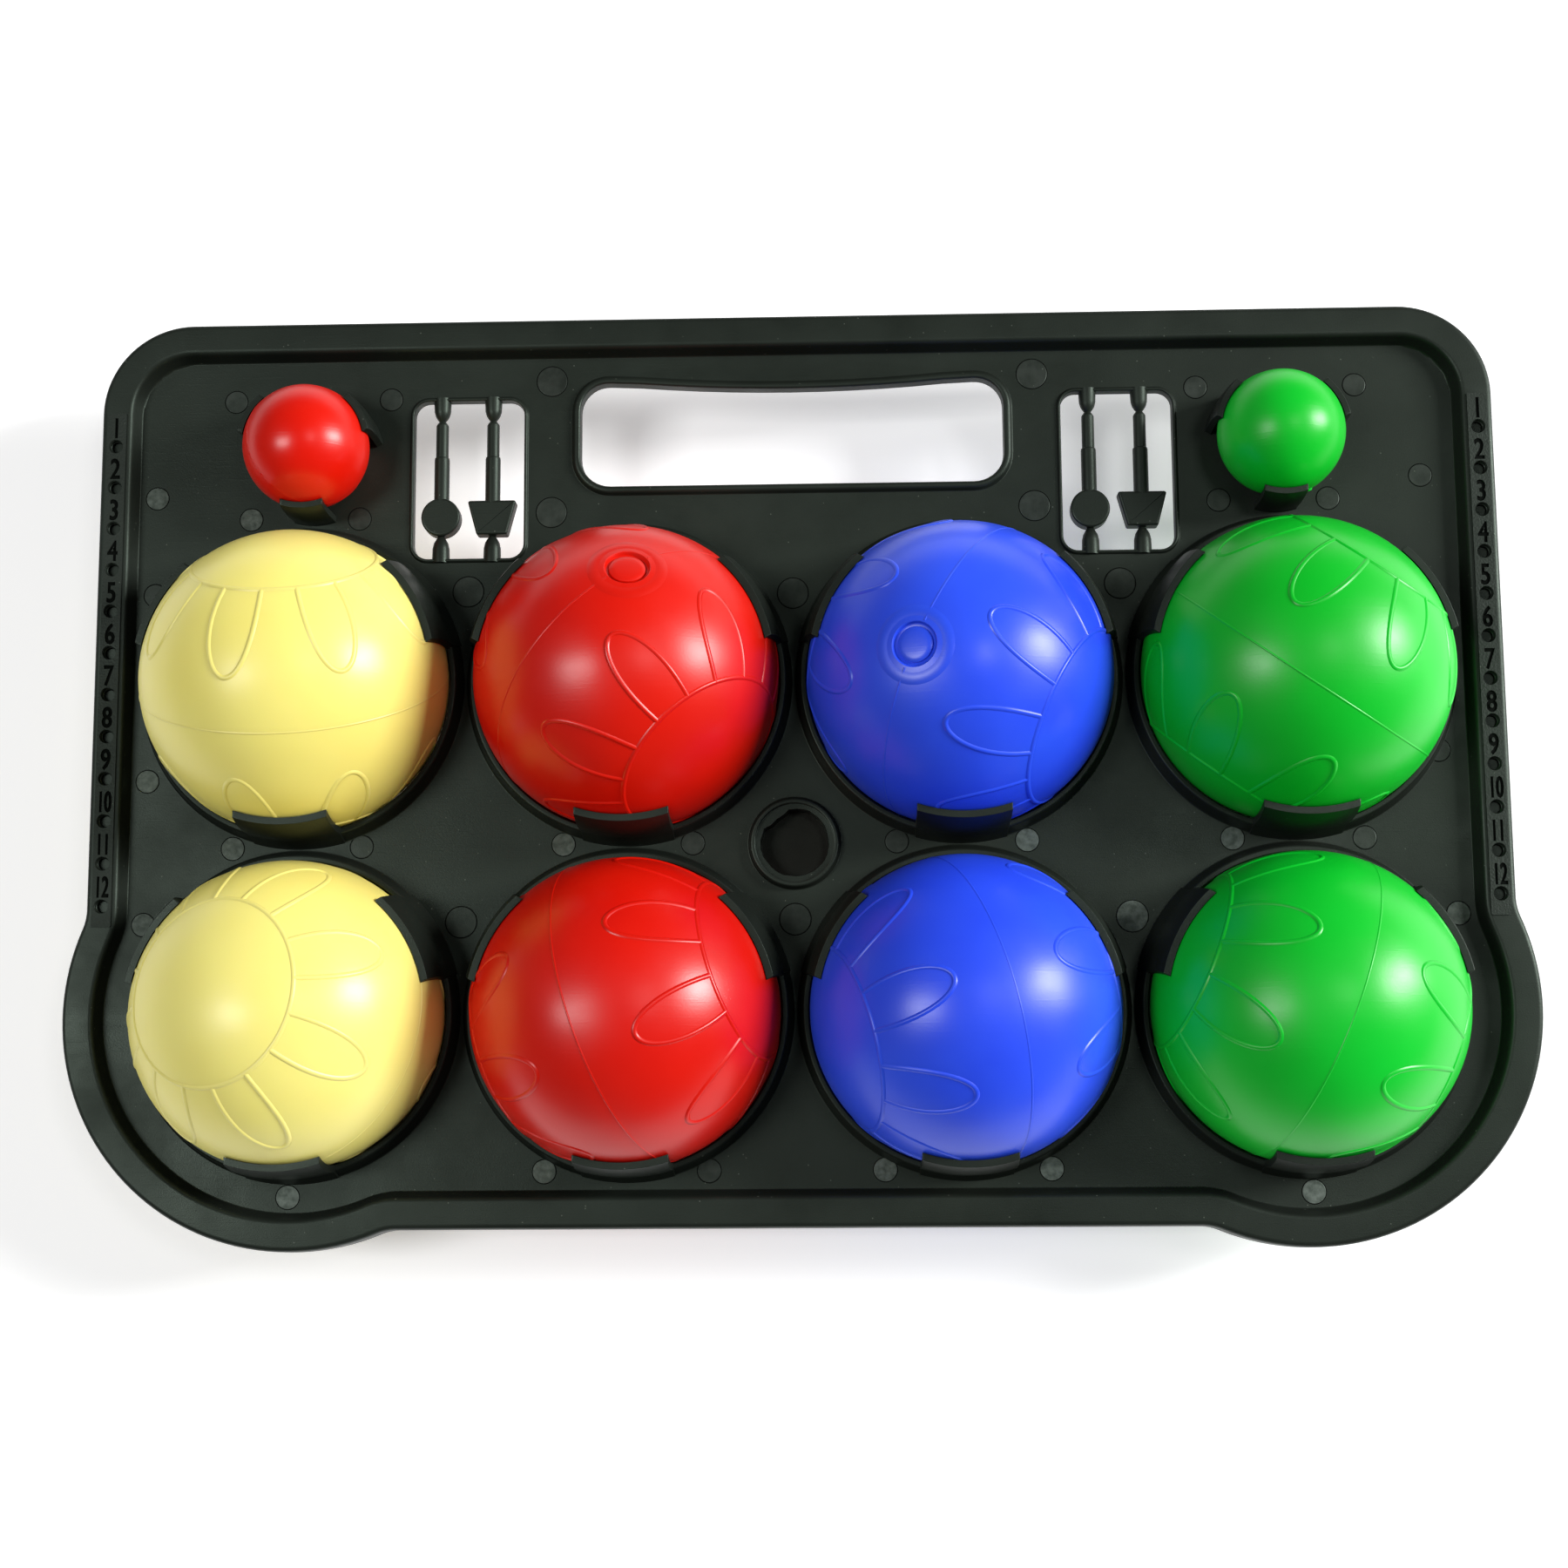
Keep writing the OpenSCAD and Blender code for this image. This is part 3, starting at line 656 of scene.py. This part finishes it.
outlines = bmesh.new()  # thin line of painted shade round each mark
for x, y, big in marks["pale"] + marks["dark"]:
    discFace(outlines, x, midY + y, panelZ + 0.02, markRadius(big) + marks["outline"], 32)
makePiece(outlines, "mouldMarkOutlines", paintedShadePlastic, "tray", (), 30)
makePiece(buildMarks(marks["pale"]), "rubbedMouldMarks", paleMark, "tray", (), 12)
makePiece(buildMarks(marks["dark"]), "darkMouldMarks", darkMark, "tray", (), 12)


ballClip = {"inner": 45.3, "thick": 1.9, "foot": 49.2, "width": 27.2, "rise": 16, "drop": 9, "soft": 0.55}
jackClip = {"inner": 18.95, "thick": 1.7, "foot": 20.9, "width": 12.6, "rise": 5.5, "drop": 13, "soft": 0.45}


def clipSection(clip):
    # half section of a clip, from its foot up the outside and down the inside; centre of the ball at 0, 0
    inner, outer = clip["inner"], clip["inner"] + clip["thick"]
    rise, drop = clip["rise"], clip["drop"]
    points = [(clip["foot"], -drop), (clip["foot"] - 0.25, -drop + 1.2), (outer + 0.25, -drop * 0.35),
              (outer, 0)]
    steps = 6
    topOuter = math.asin(rise / outer)
    for k in range(1, steps + 1):
        a = topOuter * k / steps
        points.append((outer * math.cos(a), outer * math.sin(a)))
    topInner = math.asin(rise / inner)
    for k in range(steps, -1, -1):
        a = topInner * k / steps
        points.append((inner * math.cos(a), inner * math.sin(a)))
    points.append((inner, -drop))
    return points


def buildClip(clip):
    bm = bmesh.new()
    spread = math.degrees(math.asin(clip["width"] / 2 / clip["inner"])) + 8
    verts = [bm.verts.new((r, 0, z)) for r, z in clipSection(clip)]
    section = bm.faces.new(verts)
    back = Matrix.Rotation(math.radians(-spread), 3, "Z")
    bmesh.ops.rotate(bm, cent=(0, 0, 0), matrix=back, verts=bm.verts)
    bmesh.ops.spin(bm, geom=[section], cent=(0, 0, 0), axis=(0, 0, 1), angle=math.radians(2 * spread),
                   steps=26)
    for sign in (-1, 1):
        geom = list(bm.verts) + list(bm.edges) + list(bm.faces)
        bmesh.ops.bisect_plane(bm, geom=geom, plane_co=(0, sign * clip["width"] / 2, 0),
                               plane_no=(0, sign, 0), clear_outer=True)
        loose = [e for e in bm.edges if e.is_boundary]
        bmesh.ops.holes_fill(bm, edges=loose, sides=0)
    bmesh.ops.recalc_face_normals(bm, faces=bm.faces)
    bm.normal_update()
    drop = -clip["drop"]
    rims = [e for e in bm.edges if len(e.link_faces) == 2 and e.calc_face_angle(0) > math.radians(40)
            and min(v.co.z for v in e.verts) > drop + 0.01]
    bmesh.ops.bevel(bm, geom=rims, offset=clip["soft"], offset_type="OFFSET", segments=3, profile=0.5,
                    affect="EDGES", clamp_overlap=True, material=-1)
    return bm


def buildClipSet(clip, x, y, z):
    bm = bmesh.new()
    one = buildClip(clip)
    for turn in (30, 150, 270):
        addCopy(bm, one, Matrix.Translation((x, y, z)) @ Matrix.Rotation(math.radians(turn), 4, "Z"))
    one.free()
    return bm


def title(word):
    return word[0].upper() + word[1:]


for (colourName, rowName), place in seatPlace.items():
    clips = buildClipSet(ballClip, place.x, place.y, ballZ)
    makePiece(clips, "clips" + title(colourName) + title(rowName), clipPlastic, "tray",
              ["clips_" + colourName + "_" + rowName], 40, True)
for side, colourName in ((-1, "red"), (1, "green")):
    clips = buildClipSet(jackClip, side * jackSeat["x"], midY + jackSeat["y"], panelZ + jackClip["drop"])
    makePiece(clips, "clips" + title(colourName) + "Jack", clipPlastic, "tray",
              ["clips_" + colourName + "_jack"], 40, True)
print("stage: clips done")


# a plain ring of equal rounded petals round each pole, made by formula; angles in degrees
petal = {"count": 8, "reach": 34, "half": 12, "steps": 36}
ridge = {"half": 0.85, "height": 0.34, "sink": 0.35}
seamRidge = {"half": 0.35, "height": 0.12, "sink": 0.3}
poleCircle = 36.3
shellWall = 2.25
seatRidge = {"half": 1.7, "height": 0.16, "sink": 0.3, "angle": 12.5}  # soft swelling round the plug
plugSeat = {"radius": 6.6, "steps": [(0.2, -0.12), (0.2, -0.45), (0.2, -0.5), (0.5, -0.2)]}


def onBall(angle, around):
    theta, phi = math.radians(angle), math.radians(around)
    return Vector((math.sin(theta) * math.cos(phi), math.sin(theta) * math.sin(phi), math.cos(theta)))


def ridgeAlong(bm, path, closed, shape):
    # sweeps a low rounded ridge along points on the unit sphere
    across = [(-1, -0.25), (-0.62, 0.5), (-0.25, 0.95), (0.25, 0.95), (0.62, 0.5), (1, -0.25)]
    section = [(a * shape["half"], h * shape["height"]) for a, h in across] + [(0, -shape["sink"])]
    count = len(path)
    stations = []
    for k in range(count):
        here = path[k].normalized()
        ahead = path[(k + 1) % count] if closed or k + 1 < count else path[k]
        behind = path[k - 1] if closed or k > 0 else path[k]
        sideways = here.cross((ahead - behind).normalized()).normalized()
        stations.append([here * (ballRadius + h) + sideways * a for a, h in section])
    part = bmesh.new()
    face = part.faces.new([part.verts.new(p) for p in stations[0]])
    if not closed:
        face.copy()
    for before, after in zip(stations, stations[1:]):
        face = bmesh.ops.extrude_discrete_faces(part, faces=[face])["faces"][0]
        for vert in face.verts:
            nearest = min(range(len(section)), key=lambda i: (before[i] - vert.co).length_squared)
            vert.co = after[nearest]
    if closed:
        bmesh.ops.delete(part, geom=[face], context="FACES_ONLY")
        bmesh.ops.bridge_loops(part, edges=[e for e in part.edges if e.is_boundary])
    bmesh.ops.remove_doubles(part, verts=part.verts, dist=0.0005)
    bmesh.ops.recalc_face_normals(part, faces=part.faces)
    addCopy(bm, part)
    part.free()


def petalPath(around):
    # half an ellipse that stands on the circle
    turns = [math.pi * k / petal["steps"] for k in range(petal["steps"] + 1)]
    return [onBall(poleCircle + petal["reach"] * math.sin(t), around + petal["half"] * math.cos(t))
            for t in turns]


def buildRelief():
    # one half of the ball; the other half is the same, turned over about the plug
    bm = bmesh.new()
    pitch = 360 / petal["count"]
    for k in range(petal["count"]):
        ridgeAlong(bm, petalPath(pitch * (k + 0.5)), False, ridge)
    ridgeAlong(bm, [onBall(poleCircle, 3 * k) for k in range(120)], True, dict(ridge, half=0.8))
    return bm


def buildBall():
    bm = bmesh.new()
    bmesh.ops.create_uvsphere(bm, u_segments=112, v_segments=64, radius=ballRadius,
                              matrix=Matrix.Rotation(math.radians(90), 4, "Y"))
    cut = math.sqrt(ballRadius ** 2 - plugSeat["radius"] ** 2)
    geom = list(bm.verts) + list(bm.edges) + list(bm.faces)
    bmesh.ops.bisect_plane(bm, geom=geom, plane_co=(cut, 0, 0), plane_no=(1, 0, 0), clear_outer=True)
    bmesh.ops.holes_fill(bm, edges=[e for e in bm.edges if e.is_boundary], sides=0)
    face = max(bm.faces, key=lambda f: len(f.verts))
    face.normal_update()
    if face.normal.x < 0:
        face.normal_flip()
    stepInwards(bm, face, plugSeat["steps"])
    inside = bmesh.new()
    bmesh.ops.create_uvsphere(inside, u_segments=48, v_segments=24, radius=ballRadius - shellWall)
    bmesh.ops.reverse_faces(inside, faces=inside.faces)
    addCopy(bm, inside)
    inside.free()
    relief = buildRelief()
    addCopy(bm, relief)
    addCopy(bm, relief, Matrix.Rotation(math.pi, 4, "X"))
    relief.free()
    swelling = bmesh.new()
    ridgeAlong(swelling, [onBall(seatRidge["angle"], 4 * k) for k in range(90)], True, seatRidge)
    addCopy(bm, swelling, Matrix.Rotation(math.radians(90), 4, "Y"))
    swelling.free()
    gap = math.degrees(math.asin(plugSeat["radius"] / ballRadius)) + 0.6
    seam = [onBall(90, gap + (360 - 2 * gap) * k / 150) for k in range(151)]
    ridgeAlong(bm, seam, False, seamRidge)
    return bm


# stations are (height above the shank's end or above the seat, radius)
plug = {"inner": 40.5, "floor": 43.2, "shank": [(0, 2.6), (0.5, 3.0)],
        "head": [(-0.05, 3.0), (0, 4.9), (0.3, 5.15), (0.7, 5.1), (1.0, 4.6), (1.18, 3.6), (1.28, 2.2),
                 (1.32, 0.3)]}


def buildPlug():
    # a shank, then a low domed head; turned to point along X
    bm = bmesh.new()
    stations = [(plug["inner"] + up, radius) for up, radius in plug["shank"]]
    stations += [(plug["floor"] + up, radius) for up, radius in plug["head"]]
    turnedRod(bm, 0, stations, 48)
    bmesh.ops.rotate(bm, cent=(0, 0, 0), matrix=Matrix.Rotation(math.radians(-90), 3, "Z"), verts=bm.verts)
    return bm


# pole direction round and up from the tray, and the plug's place round the seam
ballTurns = {("yellow", "top"): (89.5, 28.8, 10), ("red", "top"): (-47.6, 23.3, 153.9),
             ("blue", "top"): (-25.6, 17.8, 187), ("green", "top"): (55.2, 14.7, -40),
             ("yellow", "bottom"): (157.3, 67.2, 18), ("red", "bottom"): (19, 14.8, -10),
             ("blue", "bottom"): (193.8, 15.8, -11), ("green", "bottom"): (158.2, 5.6, -44)}


def ballMatrix(key):
    around, upwards, turn = (math.radians(a) for a in ballTurns[key])
    place = Matrix.Translation((seatPlace[key].x, seatPlace[key].y, ballZ))
    return (place @ Matrix.Rotation(around, 4, "Z") @ Matrix.Rotation(math.pi / 2 - upwards, 4, "Y")
            @ Matrix.Rotation(turn, 4, "Z"))


ballMaster = buildBall()
plugMaster = buildPlug()
for key in seatPlace:
    colourName, rowName = key
    ending = "_" + colourName + "_" + rowName
    for master, kind in ((ballMaster, "ball"), (plugMaster, "plug")):
        bm = bmesh.new()
        addCopy(bm, master, ballMatrix(key))
        makePiece(bm, kind + title(colourName) + title(rowName), ballPlastic[colourName],
                  "filled_ball" + ending, [kind + ending], 32)
print("stage: balls done,", len(ballMaster.faces), "faces each")


# lines say how each parting line is turned: degrees round, then tipped
jack = {"radius": 18.65, "lines": {"red": (20, 38), "green": (-65, 8)}, "bandHalf": 0.3, "bandRise": 0.1}
gate = {"base": 1.5, "top": 1.0, "tall": 0.9, "up": 0.1, "soft": 0.2}  # the stub left on the parting line


def buildJack(colourName, x):
    bm = bmesh.new()
    bmesh.ops.create_uvsphere(bm, u_segments=96, v_segments=56, radius=jack["radius"])
    around, upwards = jack["lines"][colourName]
    turn = Matrix.Rotation(math.radians(around), 4, "Z") @ Matrix.Rotation(math.radians(upwards), 4, "Y")
    # parting line: a band of the ball pushed out a little
    normal = turn.to_3x3() @ Vector((0, 0, 1))
    for offset in (-jack["bandHalf"], 0, jack["bandHalf"]):
        geom = list(bm.verts) + list(bm.edges) + list(bm.faces)
        bmesh.ops.bisect_plane(bm, geom=geom, dist=0.001, plane_co=normal * offset, plane_no=normal)
    for vert in bm.verts:
        if abs(vert.co.dot(normal)) < 0.01:
            vert.co = vert.co.normalized() * (jack["radius"] + jack["bandRise"])
    nub = bmesh.new()
    bmesh.ops.create_cone(nub, cap_ends=True, segments=20, radius1=gate["base"], radius2=gate["top"],
                          depth=gate["tall"], matrix=Matrix.Translation((0, 0, jack["radius"] + gate["up"])))
    rim = [e for e in nub.edges if all(v.co.z > jack["radius"] for v in e.verts)]
    bmesh.ops.bevel(nub, geom=rim, offset=gate["soft"], offset_type="OFFSET", segments=2, profile=0.5,
                    affect="EDGES", material=-1)
    addCopy(bm, nub, turn @ Matrix.Rotation(math.radians(90), 4, "Y"))
    nub.free()
    bmesh.ops.translate(bm, vec=(x, midY + jackSeat["y"], panelZ + jackClip["drop"]), verts=bm.verts)
    return bm


for side, colourName in ((-1, "red"), (1, "green")):
    jackMesh = buildJack(colourName, side * jackSeat["x"])
    makePiece(jackMesh, "jack" + title(colourName), jackPlastic[colourName],
              "small_" + colourName + "_jack", ["jack_" + colourName], 50)
print("stage: jacks done")


def buildMarker(kind, side):
    part = bmesh.new()
    x = marker["roundX"] if kind == "round" else marker["taperedX"]
    turnedRod(part, x, marker["rod"])
    half = marker["headThick"] / 2
    if kind == "round":
        up, radius = marker["roundHead"]
        head = discFace(part, x, up, -half, radius, 48)
    else:
        corners = [(x + across, up, radius) for across, up, radius in marker["taperedHead"]]
        head = roundedFace(part, corners, -half, steps=3)
    base = head.copy()
    base.normal_flip()
    stepInwards(part, base, [(0.01, 0.01)])
    grown = bmesh.ops.extrude_discrete_faces(part, faces=[head])["faces"][0]
    bmesh.ops.translate(part, vec=(0, 0, marker["headThick"] - heightSum(marker["headSteps"])),
                        verts=grown.verts)
    stepInwards(part, grown, marker["headSteps"])
    bmesh.ops.remove_doubles(part, verts=part.verts, dist=0.0005)
    bm = bmesh.new()
    addCopy(bm, part, windowMatrix(side))
    part.free()
    return bm


for kind in ("round", "tapered"):
    for side, sideName in ((-1, "left"), (1, "right")):
        makePiece(buildMarker(kind, side), "marker" + title(kind) + title(sideName), markerPlastic,
                  kind + "_marker_" + sideName, ["marker_" + kind + "_" + sideName], 45, True)
print("stage: markers done")


floor = {"half": 3.0, "colour": (0.86, 0.86, 0.86), "glow": 0.4}
lamps = {
    "leftBox": {"place": (-1.27, -0.10, 2.10), "size": (0.50, 0.85), "power": 25},
    "rightBox": {"place": (2.12, 0.55, 1.22), "size": (0.55, 0.95), "power": 88},
    "smallBox": {"place": (0.75, 0.25, 2.3), "size": (0.4, 0.4), "power": 5},
}
view = {"place": (0.01576, -0.09063, 0.69450), "right": (0.99954, -0.00700, -0.02952),
        "up": (0.01080, 0.99134, 0.13086), "lens": 51.32}


def buildFloor():
    mat, tree, shader, coords = shaderNodes("paleFloor")
    fleck = addNoise(tree, coords, 3, 2)
    pale = floor["colour"]
    tone = blendColour(tree, fleck, pale, tuple(c * 1.02 for c in pale))
    tree.links.new(tone, shader.inputs["Base Color"])
    shader.inputs["Roughness"].default_value = 0.9
    shader.inputs["Specular IOR Level"].default_value = 0.1
    shader.inputs["Emission Color"].default_value = (1, 1, 1, 1)
    shader.inputs["Emission Strength"].default_value = floor["glow"]
    bm = bmesh.new()
    bmesh.ops.create_grid(bm, x_segments=2, y_segments=2, size=floor["half"])
    mesh = bpy.data.meshes.new("floor")
    bm.to_mesh(mesh)
    bm.free()
    mesh.materials.append(mat)
    plane = bpy.data.objects.new("floor", mesh)
    scene.collection.objects.link(plane)


def buildLamps():
    for name, look in lamps.items():
        lamp = bpy.data.lights.new(name, "AREA")
        lamp.shape = "RECTANGLE"
        lamp.size, lamp.size_y = look["size"]
        lamp.energy = look["power"]
        holder = bpy.data.objects.new(name, lamp)
        scene.collection.objects.link(holder)
        holder.location = look["place"]
        aim = Vector((0, -0.02, 0.04)) - holder.location
        holder.rotation_euler = aim.to_track_quat("-Z", "Y").to_euler()
    world = bpy.data.worlds.new("studio")
    scene.world = world
    world.use_nodes = True
    background = world.node_tree.nodes["Background"]
    background.inputs["Color"].default_value = (0.95, 0.97, 1, 1)
    background.inputs["Strength"].default_value = 0.09


def buildCamera():
    lens = bpy.data.cameras.new("viewer")
    lens.sensor_width = 36
    lens.lens = view["lens"]
    lens.clip_start = 0.01
    lens.dof.use_dof = False
    camera = bpy.data.objects.new("viewer", lens)
    scene.collection.objects.link(camera)
    right, up = Vector(view["right"]).normalized(), Vector(view["up"]).normalized()
    back = right.cross(up)
    turn = Matrix((right, up, back)).transposed()
    camera.matrix_world = Matrix.Translation(view["place"]) @ turn.to_4x4()
    scene.camera = camera


buildFloor()
buildLamps()
buildCamera()
print("stage: scene done")
